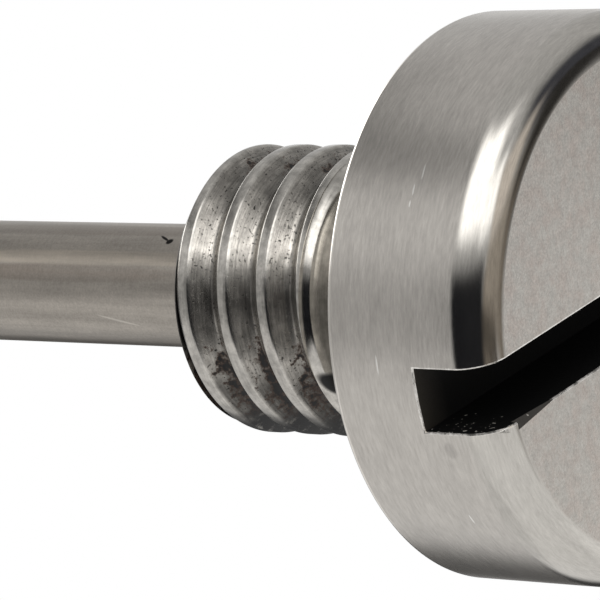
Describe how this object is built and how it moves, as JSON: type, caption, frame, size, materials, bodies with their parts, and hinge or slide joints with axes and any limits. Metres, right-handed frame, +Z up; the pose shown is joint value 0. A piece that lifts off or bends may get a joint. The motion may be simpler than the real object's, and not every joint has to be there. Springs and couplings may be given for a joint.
{
  "type": "magnetic drain plug",
  "caption": "Slotted round-head drain plug with a flat sealing face, a short threaded shank with a relief neck, and a slim rod magnet standing out of its end.",
  "frame": {"origin": "centre of the slotted face, on the surface that the plug stands on", "axes": "+Z up the axis from the slotted face to the tip of the magnet; the driver slot runs along Y"},
  "size_m": [0.0178, 0.0178, 0.0333],
  "materials": {
    "turned_stainless": "satin, turned and brushed, polished on the rounded edge of the head",
    "ground_magnet": "ground satin rod"
  },
  "bodies": {
    "root": {"plug_body": "turned_stainless", "magnet_rod": "ground_magnet"}
  },
  "joints": []
}
